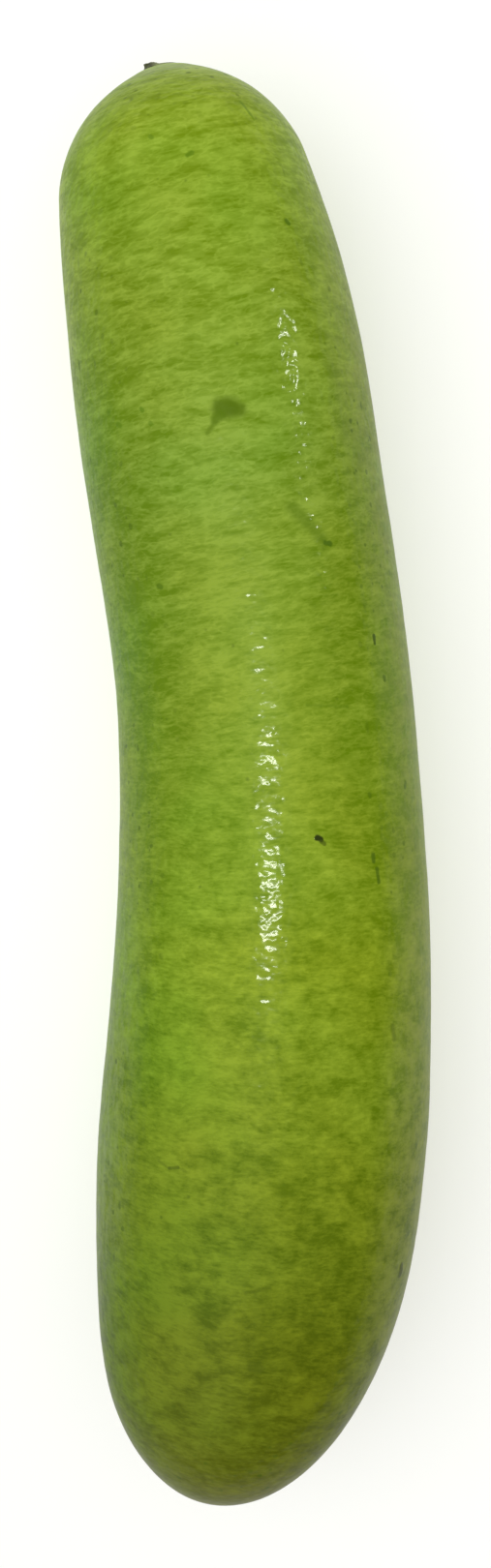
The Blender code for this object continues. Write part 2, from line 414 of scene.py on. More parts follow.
# Bands rule at the stem end, and ragged patches at the blossom end. Each pair below holds for the
# bands and for the patches: where each has the skin to itself, as a share of its length, and the
# values of the pattern that show as the deepest and as the palest green.
RULING = (0.18, 0.72)
DEEPEST = (0.25, 0.33)
PALEST = (0.75, 0.67)
GROWTH_AND_SHADE_WEIGHT = 0.12
toward_blossom = add(
    rind_tree,
    "MapRange",
    {"interpolation_type": "SMOOTHSTEP"},
    i0=share_along,
    i1=RULING[0],
    i2=RULING[1],
).outputs[0]
mottle = add(
    rind_tree, "Mix", Factor=toward_blossom, A=pattern["bands"], B=pattern["patches"]
).outputs[0]
mottle = add(
    rind_tree, "Math", {"operation": "MULTIPLY_ADD"}, i0=grown_and_shaded, i1=GROWTH_AND_SHADE_WEIGHT, i2=mottle
).outputs[0]
deepest, palest = (
    add(rind_tree, "MapRange", i0=toward_blossom, i1=0, i2=1, i3=pair[0], i4=pair[1]).outputs[0]
    for pair in (DEEPEST, PALEST)
)
paleness = add(rind_tree, "MapRange", i0=mottle, i1=deepest, i2=palest, i4=0.94).outputs[0]

# Fine creases between the pale patches, 7 mm apart, which fade in and out. They are thin dark
# lines in a net whose meshes ripples of the grain make uneven.
CREASE_SPACING = 7.0
CREASE_WIDTH = 0.20
CREASE_DEPTH = 0.26
RIPPLE_SIZE = 5.0
RIPPLE_REACH = 7.0
DRIFT_SIZE = 17.0
ripple = add(
    rind_tree, "TexNoise", Vector=place, Scale=1 / RIPPLE_SIZE, Detail=3.0
).outputs["Color"]
crease_place = add(
    rind_tree,
    "VectorMath",
    {"operation": "MULTIPLY_ADD"},
    i0=ripple,
    i1=(RIPPLE_REACH, RIPPLE_REACH, RIPPLE_REACH),
    i2=bent_place,
).outputs[0]
creases = add(
    rind_tree,
    "TexVoronoi",
    {"feature": "DISTANCE_TO_EDGE"},
    Vector=crease_place,
    Scale=1 / CREASE_SPACING,
).outputs["Distance"]
creases = add(
    rind_tree, "MapRange", i0=creases, i1=0.0, i2=CREASE_WIDTH, i3=-CREASE_DEPTH, i4=0.0
).outputs[0]
drifts = add(
    rind_tree, "TexNoise", Vector=place, Scale=1 / DRIFT_SIZE, Detail=1.0
).outputs["Fac"]
creased = add(rind_tree, "MapRange", i0=drifts, i1=0.42, i2=0.60, i3=0.15, i4=1.0).outputs[0]
creased = add(
    rind_tree, "Math", {"operation": "MULTIPLY"}, i0=creased, i1=toward_blossom
).outputs[0]
paleness = add(
    rind_tree, "Math", {"operation": "MULTIPLY_ADD"}, i0=creases, i1=creased, i2=paleness
).outputs[0]

# Pale and dark strokes come in drifts, strongest toward the stem end. Each kind has its sign, and
# its strength between the drifts of pale strokes and in them.
STROKES = (
    ("pale_strokes", 1.0, 0.08, 0.32),
    ("dark_strokes", -1.0, 0.30, 0.08),
)
stroke_weight = add(
    rind_tree, "MapRange", i0=toward_blossom, i1=0.0, i2=1.0, i3=0.78, i4=0.30
).outputs[0]
for name, sign, between_drifts, in_drifts in STROKES:
    drift_share = add(
        rind_tree, "MapRange", i0=drifts, i1=0.36, i2=0.62, i3=between_drifts, i4=in_drifts
    ).outputs[0]
    stroke = add(rind_tree, "MapRange", i0=pattern[name], i1=0.53, i2=0.60, i4=sign).outputs[0]
    stroke = add(rind_tree, "Math", {"operation": "MULTIPLY"}, i0=stroke, i1=drift_share)
    paleness = add(
        rind_tree,
        "Math",
        {"operation": "MULTIPLY_ADD"},
        i0=stroke.outputs[0],
        i1=stroke_weight,
        i2=paleness,
    ).outputs[0]

# Thin pale threads, about 0.5 mm wide, run between the strokes, where their pattern passes
# through its middle value. Fine cells make all of it a little lighter or darker.
CELL_CONTRAST = 0.20
off_thread = add(rind_tree, "Math", {"operation": "SUBTRACT"}, i0=pattern["threads"], i1=0.5)
off_thread = add(rind_tree, "Math", {"operation": "ABSOLUTE"}, i0=off_thread.outputs[0])
thread = add(
    rind_tree, "MapRange", i0=off_thread.outputs[0], i1=0.07, i2=0.015, i3=-0.05, i4=0.34
).outputs[0]
paleness = add(
    rind_tree, "Math", {"operation": "MULTIPLY_ADD"}, i0=thread, i1=stroke_weight, i2=paleness
).outputs[0]
cells = add(
    rind_tree,
    "MapRange",
    i0=pattern["fine_cells"],
    i1=0.3,
    i2=0.7,
    i3=-CELL_CONTRAST,
    i4=CELL_CONTRAST,
).outputs[0]
paleness = add(
    rind_tree, "Math", {"operation": "ADD", "use_clamp": True}, i0=paleness, i1=cells
).outputs[0]

# The deep and the pale green, by the share of the way over the skin from the stalk. Both grow darker
# toward the blossom end: partly the skin's own olive, partly painted shade, as less light fell
# there.
DEEP_GREENS = (
    (0.0, "#7d9610"),
    (0.14, "#6a820b"),
    (0.31, "#5b7806"),
    (0.47, "#5c7904"),
    (0.61, "#5f7902"),
    (0.725, "#556b02"),
    (0.82, "#4b5d02"),
    (0.9, "#4d5802"),
    (1.0, "#525704"),
)
PALE_GREENS = (
    (0.0, "#a7bf46"),
    (0.14, "#8ca332"),
    (0.31, "#7f9936"),
    (0.47, "#849b30"),
    (0.61, "#889f29"),
    (0.725, "#7b8e1f"),
    (0.82, "#6e7f19"),
    (0.9, "#6a7816"),
    (1.0, "#6c6f2a"),
)
deep_green = add(rind_tree, "ValToRGB", {"stops": DEEP_GREENS}, Fac=share_along).outputs["Color"]
pale_green = add(rind_tree, "ValToRGB", {"stops": PALE_GREENS}, Fac=share_along).outputs["Color"]
body_green = add(
    rind_tree, "Mix", {"data_type": "RGBA"}, i0=paleness, i6=deep_green, i7=pale_green
).outputs[2]

# Broad drifts from fresh green to yellow olive: greener toward the left and more yellow toward the
# right, the more so toward the blossom end.
TINT_DRIFT_SIZE = 45.0
SIDE_REACH = 45.0
GREEN_ON_LEFT = -0.36
YELLOW_ON_RIGHT = 0.48
SIDE_TINTS = ((0.2, "#ecffea"), (0.5, "#ffffff"), (0.8, "#fff6cc"))
drift = add(rind_tree, "TexNoise", Vector=place, Scale=1 / TINT_DRIFT_SIZE, Detail=3.0)
side_tint_share = add(
    rind_tree,
    "MapRange",
    i0=parts_of_place.outputs["X"],
    i1=-SIDE_REACH,
    i2=SIDE_REACH,
    i3=GREEN_ON_LEFT,
    i4=YELLOW_ON_RIGHT,
).outputs[0]
side_tint_share = add(
    rind_tree,
    "Math",
    {"operation": "MULTIPLY_ADD"},
    i0=side_tint_share,
    i1=share_along,
    i2=drift.outputs["Fac"],
).outputs[0]
tint = add(rind_tree, "ValToRGB", {"stops": SIDE_TINTS}, Fac=side_tint_share).outputs["Color"]
skin_colour = add(
    rind_tree, "Mix", {"data_type": "RGBA", "blend_type": "MULTIPLY"}, i0=1.0, i6=body_green, i7=tint
).outputs[2]

# Two films lie on the flanks. Pale grey-green streaks on the left flank of the belly are partly a
# dusty wax bloom and partly painted sheen at the grazing edge. Grey-green blotches down the right
# flank are a painted reflection, a dull grey veil. Each film has its mask, where it starts and is
# full, and its colour.
BLOOM_AND_SHEEN_STREAK = (2.2, 2.2, 5.0)
BLOOM_AND_SHEEN_STRENGTH = 0.46
PAINTED_VEIL_STRENGTH = 0.60
# A pale film in streaks on the left flank: partly wax bloom, partly painted sheen.
bloom_and_sheen_place = add(
    rind_tree, "Mapping", {"vector_type": "TEXTURE"}, Vector=place, Scale=BLOOM_AND_SHEEN_STREAK
).outputs[0]
bloom_and_sheen = add(rind_tree, "TexNoise", Vector=bloom_and_sheen_place, Scale=1.0, Detail=5.0, Roughness=0.68)
bloom_and_sheen = add(
    rind_tree, "MapRange", i0=bloom_and_sheen.outputs["Fac"], i1=0.36, i2=0.70, i4=BLOOM_AND_SHEEN_STRENGTH
).outputs[0]
# Painted reflection: a dull grey-green veil in blotches down the right flank.
painted_veil = add(
    rind_tree, "MapRange", i0=pattern["patches"], i1=0.32, i2=0.62, i4=PAINTED_VEIL_STRENGTH
).outputs[0]
to_right = parts_of_place.outputs["X"]
bloom_and_sheen_reaches = (
    (to_right, -30.0, -42.0),
    (share_along, 0.42, 0.64),
    (share_along, 0.96, 0.84),
)
painted_veil_reaches = (
    (to_right, 25.0, 39.0),
    (share_along, 0.06, 0.20),
)
for film_mask, reaches, code in (
    (bloom_and_sheen, bloom_and_sheen_reaches, "#8c9b6a"),
    (painted_veil, painted_veil_reaches, "#7c8440"),
):
    for source, starts_at, full_at in reaches:
        in_reach = add(
            rind_tree,
            "MapRange",
            {"interpolation_type": "SMOOTHSTEP"},
            i0=source,
            i1=starts_at,
            i2=full_at,
        ).outputs[0]
        film_mask = add(
            rind_tree, "Math", {"operation": "MULTIPLY"}, i0=film_mask, i1=in_reach
        ).outputs[0]
    skin_colour = add(
        rind_tree, "Mix", {"data_type": "RGBA"}, i0=film_mask, i6=skin_colour, i7=srgb(code)
    ).outputs[2]

# Pores: dark specks up to 1 mm wide, 6 mm apart. Down the flanks, where rubbing has broken the
# wax, they lie closer, up to 1.7 mm wide, and some are long. Each row has the spacing in mm, how
# far a pore stretches along the fruit, the share of places left empty, the half width as a share
# of the spacing, and a mask.
FLANK_FROM = 36.0
FLANK_TO = 22.0
PORE_EDGE = (-0.04, 0.06)
PORE_DEPTH = 0.6
flank = add(
    rind_tree,
    "MapRange",
    i0=parts_of_place.outputs["Y"],
    i1=FLANK_FROM,
    i2=FLANK_TO,
    i3=0.0,
    i4=1.0,
).outputs[0]
rubbed = add(rind_tree, "MapRange", i0=drift.outputs["Fac"], i1=0.40, i2=0.54).outputs[0]
rubbed = add(rind_tree, "Math", {"operation": "MULTIPLY"}, i0=rubbed, i1=flank).outputs[0]
PORES = (
    (6.0, 1.0, 0.60, 0.085, None),
    (2.8, 1.0, 0.30, 0.30, rubbed),
    (5.0, 2.2, 0.62, 0.15, flank),
)
for spacing, stretch, rarest, widest, share_of_dark in PORES:
    pore_place = add(
        rind_tree,
        "Mapping",
        {"vector_type": "TEXTURE"},
        Vector=bent_place,
        Scale=(spacing, spacing, spacing * stretch),
    ).outputs[0]
    pores = add(rind_tree, "TexVoronoi", Vector=pore_place, Scale=1.0)
    pore_pick = add(rind_tree, "SeparateXYZ", Vector=pores.outputs["Color"])
    pore_size = add(
        rind_tree, "MapRange", i0=pore_pick.outputs["X"], i1=rarest, i2=1.0, i3=0.0, i4=widest
    ).outputs[0]
    pore_edge = add(
        rind_tree, "Math", {"operation": "SUBTRACT"}, i0=pore_size, i1=pores.outputs["Distance"]
    ).outputs[0]
    pore_mask = add(
        rind_tree, "MapRange", i0=pore_edge, i1=PORE_EDGE[0], i2=PORE_EDGE[1], i3=0.0, i4=PORE_DEPTH
    ).outputs[0]
    if share_of_dark:
        pore_mask = add(
            rind_tree, "Math", {"operation": "MULTIPLY"}, i0=pore_mask, i1=share_of_dark
        ).outputs[0]
    skin_colour = add(
        rind_tree, "Mix", {"data_type": "RGBA"}, i0=pore_mask, i6=skin_colour, i7=srgb("#3c5408")
    ).outputs[2]

# Bruises, scratches and specks, each a line from one place to another, both by their distance
# along the fruit and degrees right of the top, with its half width, soft edge, colour, depth
# of colour and how far it is sunken.
MARKS = (
    ((97.8, -1.6), (97.9, 1.6), 1.1, 2.7, "#4d6603", 0.95, 0.1),
    ((98.4, 2.0), (98.8, 5.2), 0.4, 2.0, "#4d6603", 0.85, 0.1),
    ((99.4, -2.6), (100.4, -4.2), 0.4, 1.7, "#4f6a03", 0.8, 0.0),
    ((101.0, -5.0), (103.2, -8.0), 0.1, 1.0, "#526c04", 0.7, 0.0),
    ((124.0, 19.0), (133.0, 30.0), 0.3, 2.5, "#4c6803", 0.55, 0.0),
    ((133.6, 30.5), (134.0, 32.4), 0.35, 0.6, "#3c5a04", 0.8, 0.3),
    ((206.0, 15.4), (206.3, 16.8), 0.5, 0.45, "#1d2604", 0.95, 0.6),
    ((206.8, 16.9), (207.4, 18.2), 0.25, 0.5, "#3a4806", 0.7, 0.2),
    ((310.4, 62.5), (311.8, 63.0), 0.7, 0.8, "#3c460e", 0.85, 0.8),
    ((157.5, 48.0), (159.2, 48.0), 0.35, 0.45, "#2c4404", 0.85, 0.4),
    ((167.6, 51.4), (168.2, 51.4), 0.3, 0.6, "#46600a", 0.8, 0.2),
    ((195.7, 38.0), (196.2, 38.0), 0.2, 0.7, "#4a6408", 0.7, 0.2),
    ((210.2, 38.0), (211.7, 38.0), 0.3, 0.6, "#3e580a", 0.75, 0.3),
    ((213.6, 39.5), (216.8, 40.2), 0.25, 0.6, "#3e580a", 0.75, 0.3),
    ((251.7, 46.0), (254.6, 47.0), 0.3, 1.0, "#52640e", 0.6, 0.2),
    ((193.0, 60.0), (194.0, 59.0), 0.3, 0.6, "#46600a", 0.7, 0.2),
    ((54.0, 38.0), (54.6, 39.0), 0.3, 0.6, "#44620a", 0.8, 0.3),
    ((36.0, 2.0), (35.5, 4.0), 0.3, 0.6, "#52720a", 0.75, 0.3),
    ((29.0, -12.0), (29.4, -11.4), 0.25, 0.6, "#52720a", 0.6, 0.3),
    ((22.0, 33.0), (27.0, 36.5), 0.2, 0.5, "#56760c", 0.6, 0.2),
    ((139.0, -35.0), (138.5, -36.0), 0.45, 0.6, "#466404", 0.7, 0.3),
    ((94.0, -32.0), (94.4, -31.5), 0.3, 0.6, "#507206", 0.7, 0.3),
    ((98.0, -29.0), (98.4, -28.5), 0.3, 0.6, "#507206", 0.6, 0.3),
    ((96.0, -44.0), (96.4, -43.0), 0.35, 0.6, "#507206", 0.6, 0.3),
    ((92.0, -48.0), (92.4, -48.0), 0.3, 0.6, "#507206", 0.6, 0.3),
    ((287.4, -37.0), (288.8, -32.5), 0.1, 0.50, "#42560a", 0.40, 0.2),
    ((288.8, -32.5), (288.2, -29.0), 0.2, 0.50, "#3c4e08", 0.60, 0.2),
    ((288.2, -29.0), (289.0, -26.0), 0.1, 0.45, "#42560a", 0.30, 0.1),
    ((317.0, -2.0), (315.0, 6.0), 0.1, 0.6, "#4c5c06", 0.6, 0.2),
    ((335.0, 5.0), (335.5, 7.0), 0.9, 1.3, "#465406", 0.6, 0.1),
    ((173.5, 15.0), (174.5, 31.0), 0.1, 0.6, "#4e6c04", 0.5, 0.1),
)
# Their edges are ragged, in steps of 1.8 mm, and the wide ones are more so.
RAGGED_SIZE = 1.8
RAGGED_REACH = 0.6
RAGGED_LEAST = 0.2
RAGGED_BY_WIDTH = 0.25
ragged = add(
    rind_tree, "TexNoise", Vector=place, Scale=1 / RAGGED_SIZE, Detail=2.0
).outputs["Fac"]
ragged = add(
    rind_tree, "MapRange", i0=ragged, i1=0.3, i2=0.7, i3=-RAGGED_REACH, i4=RAGGED_REACH
).outputs[0]
sunken = 0.0
for start, end, half_width, soft_edge, code, depth, dent in MARKS:
    start_place = on_skin(*start)
    reach = on_skin(*end) - start_place
    away = add(rind_tree, "VectorMath", {"operation": "SUBTRACT"}, i0=place, i1=start_place)
    share = add(
        rind_tree,
        "VectorMath",
        {"operation": "DOT_PRODUCT"},
        i0=away.outputs[0],
        i1=reach / reach.length_squared,
    ).outputs["Value"]
    share = add(rind_tree, "Clamp", Value=share).outputs[0]
    nearest = add(rind_tree, "VectorMath", {"operation": "SCALE"}, i0=reach, i3=share)
    apart = add(
        rind_tree, "VectorMath", {"operation": "DISTANCE"}, i0=away.outputs[0], i1=nearest.outputs[0]
    ).outputs["Value"]
    apart = add(
        rind_tree,
        "Math",
        {"operation": "MULTIPLY_ADD"},
        i0=ragged,
        i1=RAGGED_LEAST + RAGGED_BY_WIDTH * half_width,
        i2=apart,
    ).outputs[0]
    mark_mask = add(
        rind_tree,
        "MapRange",
        {"interpolation_type": "SMOOTHSTEP"},
        i0=apart,
        i1=half_width + soft_edge,
        i2=half_width,
        i3=0.0,
        i4=depth,
    ).outputs[0]
    skin_colour = add(
        rind_tree, "Mix", {"data_type": "RGBA"}, i0=mark_mask, i6=skin_colour, i7=srgb(code)
    ).outputs[2]
    sunken = add(
        rind_tree, "Math", {"operation": "MULTIPLY_ADD"}, i0=mark_mask, i1=dent, i2=sunken
    ).outputs[0]

# Cork: the dry brown disc where the blossom fell, and the thin brown line round the stalk. Each
# is full up to its near edge in mm, and ends at its far edge.
CORK_RAGGED = 1.6
to_tip = add(rind_tree, "Math", {"operation": "SUBTRACT"}, i0=SKIN_LENGTH, i1=run).outputs[0]
for distance, near_edge, far_edge, depth in ((to_tip, 4.6, 6.4, 0.9), (run, 7.2, 9.2, 0.7)):
    uneven_distance = add(
        rind_tree, "Math", {"operation": "MULTIPLY_ADD"}, i0=ragged, i1=CORK_RAGGED, i2=distance
    ).outputs[0]
    cork_mask = add(
        rind_tree,
        "MapRange",
        {"interpolation_type": "SMOOTHSTEP"},
        i0=uneven_distance,
        i1=far_edge,
        i2=near_edge,
        i3=0.0,
        i4=depth,
    ).outputs[0]
    cork = add(
        rind_tree,
        "ValToRGB",
        {"stops": ((0.35, "#4a4022"), (0.65, "#857a4c"))},
        Fac=pattern["fine_cells"],
    ).outputs["Color"]
    skin_colour = add(
        rind_tree, "Mix", {"data_type": "RGBA"}, i0=cork_mask, i6=skin_colour, i7=cork
    ).outputs[2]

# Wet plant cells refract at about 1.40 and their wax at 1.45. The wax is thin and almost smooth.
shine = rind_tree.nodes["Principled BSDF"]
rind_tree.links.new(skin_colour, shine.inputs["Base Color"])
shine.inputs["IOR"].default_value = 1.40
shine.inputs["Specular IOR Level"].default_value = 0.05
shine.inputs["Coat Weight"].default_value = 0.14
shine.inputs["Coat Roughness"].default_value = 0.10
shine.inputs["Coat IOR"].default_value = 1.45
dull = add(rind_tree, "MapRange", i0=pattern["patches"], i1=0.3, i2=0.7, i3=0.38, i4=0.50)
rind_tree.links.new(dull.outputs[0], shine.inputs["Roughness"])

# The cells under the wax stand out as smooth pebbles 2 to 3 mm wide, whose tops catch the lamps.
# The fine ones are higher toward the stem. The strokes are faint ridges, and the marks are sunken.
PEBBLE_SIZE = 2.6
FINE_PEBBLE_SIZE = 1.9
FINE_AT_STEM = 1.7
FINE_AT_BELLY = 0.80
STROKE_RIDGE = 0.15
SUNKEN_DEPTH = 0.9
RELIEF_HEIGHT = 0.12
pebbles = add(
    rind_tree, "TexNoise", Vector=place, Scale=1 / PEBBLE_SIZE, Detail=1.5, Roughness=0.45
)
fine_pebbles = add(rind_tree, "TexNoise", Vector=place, Scale=1 / FINE_PEBBLE_SIZE, Detail=0.4)
fineness = add(
    rind_tree, "MapRange", i0=toward_blossom, i1=0.0, i2=0.5, i3=FINE_AT_STEM, i4=FINE_AT_BELLY
).outputs[0]
relief = add(
    rind_tree,
    "Math",
    {"operation": "MULTIPLY_ADD"},
    i0=fine_pebbles.outputs["Fac"],
    i1=fineness,
    i2=pebbles.outputs["Fac"],
).outputs[0]
relief = add(
    rind_tree,
    "Math",
    {"operation": "MULTIPLY_ADD"},
    i0=pattern["pale_strokes"],
    i1=STROKE_RIDGE,
    i2=relief,
).outputs[0]
relief = add(
    rind_tree, "Math", {"operation": "MULTIPLY_ADD"}, i0=sunken, i1=-SUNKEN_DEPTH, i2=relief
).outputs[0]
bump = add(rind_tree, "Bump", Height=relief, Distance=RELIEF_HEIGHT * MM, Strength=1.0)
rind_tree.links.new(bump.outputs["Normal"], shine.inputs["Normal"])
rind_tree.links.new(bump.outputs["Normal"], shine.inputs["Coat Normal"])
fruit_mesh.materials.append(rind)
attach(fruit, "root")
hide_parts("fruit")

# The stub of the stalk: five ribs of dried fibre on a flared foot that grew into the fruit.
# It was cut off slantwise with a knife, which left a rough face round a hollow pith.
STUB_LENGTH = 3.3
STUB_RADIUS = 3.8
STUB_FOOT_RADIUS = 6.4
STUB_FOOT_SHARE = 0.95
STUB_RIDGES = 5
STUB_RIDGE_HEIGHT = 0.50
STUB_RIDGE_TURN = 1.2
STUB_CUT_SLOPE = 0.48
STUB_LONG_SIDE = math.radians(-54)
STUB_LEAN = math.radians(14)
PITH_RADIUS = 1.5
PITH_DEPTH = 1.4
SEAT_GAP = 0.3
# The fine fibres down its sides, and how deep and how wide the sides have shrivelled.
FIBRES = 42
FIBRE_DEPTH = 0.10
SHRIVEL_DEPTH = 0.22
SHRIVEL_SIZE = 1.7
SHRIVEL_SEED = Vector((7.3, 1.9, 4.4))
# The cut face: torn fibres, rays from the pith outward, and a shallow dish.
TORN_HEIGHT = 0.16
TORN_PER_MM = 1.6
TORN_SEED = 3.3
RAYS = 31
RAY_HEIGHT = 0.05
DISH_DEPTH = 0.28
DISH_WIDTH = 1.15
# The mesh: points in each ring, rings up the side, on the face, and inside the foot.
STUB_AROUND = 200
STUB_RINGS = 30
FACE_RINGS = 16
FOOT_SHARES = (0.34, 0.67)


def stub_lean(share):
    """How far the stub's middle has drooped sideways at this share of its length."""
    reach = math.tan(STUB_LEAN) * share**2 * STUB_LENGTH
    return Vector((math.cos(STUB_LONG_SIDE), math.sin(STUB_LONG_SIDE), 0)) * reach


def stub_point(share, angle):
    """A point of the stub's side in its own frame, where +Z runs from its foot to its cut."""
    risen = float(smooth_step(share / STUB_FOOT_SHARE))
    foot = (1 - risen) * (STUB_FOOT_RADIUS - STUB_RADIUS)
    ridge = risen * STUB_RIDGE_HEIGHT * math.cos(STUB_RIDGES * angle + STUB_RIDGE_TURN)
    wavering = FIBRES * angle + 2.0 * math.sin(3 * angle) + 1.5 * share
    fibre = risen * FIBRE_DEPTH * math.cos(wavering)
    height = share * STUB_LENGTH * (1 + STUB_CUT_SLOPE * math.cos(angle - STUB_LONG_SIDE))
    plain = STUB_RADIUS + foot + ridge
    spot = Vector((plain * math.cos(angle), plain * math.sin(angle), height))
    shrivelled = risen * SHRIVEL_DEPTH * noise.noise(spot / SHRIVEL_SIZE + SHRIVEL_SEED)
    radius = plain + fibre + shrivelled - risen * FIBRE_DEPTH
    return Vector((radius * math.cos(angle), radius * math.sin(angle), height)) + stub_lean(share)


stub_angles = [2 * math.pi * k / STUB_AROUND for k in range(STUB_AROUND)]
stub_rings = [
    [stub_point(i / STUB_RINGS, angle) for angle in stub_angles] for i in range(STUB_RINGS + 1)
]
# What each ring shows: 0 is the stub's side, 1 its cut face and 2 its pith. The rim between the
# side and the face is a little of both.
ring_cuts = [0.0] * STUB_RINGS + [0.35]
cut_centre = stub_lean(1.0) + Vector((0, 0, STUB_LENGTH))
cut_rim = stub_rings[-1]
for i in range(1, FACE_RINGS + 1):
    inward = i / FACE_RINGS
    face_share = 1 - inward * (1 - PITH_RADIUS / STUB_RADIUS)
    ring = []
    for angle, rim in zip(stub_angles, cut_rim):
        spot = cut_centre + (rim - cut_centre) * face_share
        torn_at = Vector((spot.x * TORN_PER_MM, spot.y * TORN_PER_MM, TORN_SEED))
        torn = TORN_HEIGHT * noise.noise(torn_at)
        rays = RAY_HEIGHT * math.cos(RAYS * angle + 3 * math.sin(2 * angle))
        dished = -DISH_DEPTH * math.sin(math.pi * min(1.0, inward * DISH_WIDTH)) ** 2
        away_from_edges = min(1.0, 4 * inward * (1.06 - inward))
        spot.z += (torn + rays) * away_from_edges + dished
        ring.append(spot)
    stub_rings.append(ring)
    ring_cuts.append(1.0)
# The pith's wall and floor, each ring by its share of the pith's radius and its depth.
PITH_RINGS = ((0.95, 0.25), (0.88, 0.6), (0.80, 1.0), (0.75, 1.28), (0.59, 1.38), (0.29, 1.4))
for pith_share, depth in PITH_RINGS:
    rim_share = pith_share * PITH_RADIUS / STUB_RADIUS
    ring = [
        cut_centre + (rim - cut_centre) * rim_share - Vector((0, 0, depth)) for rim in cut_rim
    ]
    stub_rings.append(ring)
    ring_cuts.append(2.0)

# The rings that close the foot, which the fruit's seat hides.
foot_rings = [[spot * share for spot in stub_rings[0]] for share in FOOT_SHARES]
stub_rings = foot_rings + stub_rings
ring_cuts = [0.0] * len(foot_rings) + ring_cuts
stub_points = [spot for ring in stub_rings for spot in ring]
foot_centre = len(stub_points)
pith_centre = foot_centre + 1
stub_points += [Vector((0, 0, 0)), cut_centre - Vector((0, 0, PITH_DEPTH))]
stub_faces = []
for ring in range(len(stub_rings) - 1):
    near = ring * STUB_AROUND
    far = near + STUB_AROUND
    for k in range(STUB_AROUND):
        after = (k + 1) % STUB_AROUND
        stub_faces.append((near + k, near + after, far + after, far + k))
last_ring = foot_centre - STUB_AROUND
for k in range(STUB_AROUND):
    after = (k + 1) % STUB_AROUND
    stub_faces.append((after, k, foot_centre))
    stub_faces.append((last_ring + k, last_ring + after, pith_centre))

# Its own frame stands on the seat: across the fruit, up, and out along the stalk.
across, up, along = (Vector(axis) for axis in slice_axes(np.array(seat_station)))
foot = Vector(middle(np.array(seat_station)) + shift) - along * (COLLAR_RISE + SEAT_GAP)
placed = [(foot + across * p.x + up * p.y - along * p.z) * MM for p in stub_points]
stub_mesh = bpy.data.meshes.new("stalk_stub")
stub_mesh.from_pydata(placed, [], stub_faces)
stub_mesh.shade_smooth()
cut_layer = stub_mesh.attributes.new("cut", "FLOAT", "POINT")
cuts = np.repeat(ring_cuts, STUB_AROUND)
cut_layer.data.foreach_set("value", np.concatenate([cuts, [0.0, 2.0]]))
fibre_layer = stub_mesh.attributes.new("fibre", "FLOAT_VECTOR", "POINT")
fibre_layer.data.foreach_set("vector", np.array(stub_points).ravel())
stub = bpy.data.objects.new("stalk_stub", stub_mesh)
bpy.context.collection.objects.link(stub)

# Dried gourd stalk: matte grey-green ribs with brown furrows, and a darker, browner cut face.
# The fibres are 0.7 mm apart. It gives the eye a dry, dull end to the glossy fruit.
FIBRE_SIZE = (0.7, 0.7, 5.0)
FIBRE_RELIEF = 0.25
STAIN_SIZE = 2.6
SIDE_TONE_WEIGHT = 0.62
stalk = bpy.data.materials.new("dried_gourd_stalk")
stalk.use_nodes = True
stalk_tree = stalk.node_tree
local = add(stalk_tree, "Attribute", {"attribute_name": "fibre"}).outputs["Vector"]
cut = add(stalk_tree, "Attribute", {"attribute_name": "cut"}).outputs["Fac"]
long_fibres = add(
    stalk_tree, "Mapping", {"vector_type": "TEXTURE"}, Vector=local, Scale=FIBRE_SIZE
).outputs[0]
fibres = add(stalk_tree, "TexNoise", Vector=long_fibres, Scale=1.0, Detail=4.0, Roughness=0.65)
stains = add(stalk_tree, "TexNoise", Vector=local, Scale=1 / STAIN_SIZE, Detail=3.0)
side_colour = add(
    stalk_tree,
    "ValToRGB",
    {"stops": ((0.3, "#2f3216"), (0.5, "#5a6230"), (0.68, "#8f9a52"))},
    Fac=fibres.outputs["Fac"],
).outputs["Color"]
side_stain = add(
    stalk_tree, "MapRange", i0=stains.outputs["Fac"], i1=0.42, i2=0.62, i3=0.0, i4=0.6
).outputs[0]
side_colour = add(
    stalk_tree, "Mix", {"data_type": "RGBA"}, i0=side_stain, i6=side_colour, i7=srgb("#5c5230")
).outputs[2]
# One side is dark grey-brown, the band beside it pale grey-green, and the rest grey-green.
sideways = add(stalk_tree, "SeparateXYZ", Vector=local).outputs["X"]
sideways = add(stalk_tree, "MapRange", i0=sideways, i1=-6.0, i2=6.0).outputs[0]
side_tones = add(
    stalk_tree,
    "ValToRGB",
    {"stops": ((0.30, "#687040"), (0.46, "#838c58"), (0.62, "#949c70"), (0.74, "#3c402a"))},
    Fac=sideways,
).outputs["Color"]
side_colour = add(
    stalk_tree, "Mix", {"data_type": "RGBA"}, i0=SIDE_TONE_WEIGHT, i6=side_colour, i7=side_tones
).outputs[2]
face_colour = add(
    stalk_tree,
    "ValToRGB",
    {"stops": ((0.32, "#2a2414"), (0.5, "#4f4528"), (0.7, "#85774a"))},
    Fac=stains.outputs["Fac"],
).outputs["Color"]
on_face = add(stalk_tree, "MapRange", i0=cut, i1=0.2, i2=0.9).outputs[0]
in_pith = add(stalk_tree, "MapRange", i0=cut, i1=1.1, i2=1.9).outputs[0]
stalk_colour = add(
    stalk_tree, "Mix", {"data_type": "RGBA"}, i0=on_face, i6=side_colour, i7=face_colour
).outputs[2]
stalk_colour = add(
    stalk_tree, "Mix", {"data_type": "RGBA"}, i0=in_pith, i6=stalk_colour, i7=srgb("#2b2312")
).outputs[2]
dry = stalk_tree.nodes["Principled BSDF"]
stalk_tree.links.new(stalk_colour, dry.inputs["Base Color"])
dry.inputs["IOR"].default_value = 1.5
dry.inputs["Specular IOR Level"].default_value = 0.3
dry_roughness = add(
    stalk_tree, "MapRange", i0=fibres.outputs["Fac"], i1=0.3, i2=0.7, i3=0.68, i4=0.88
)
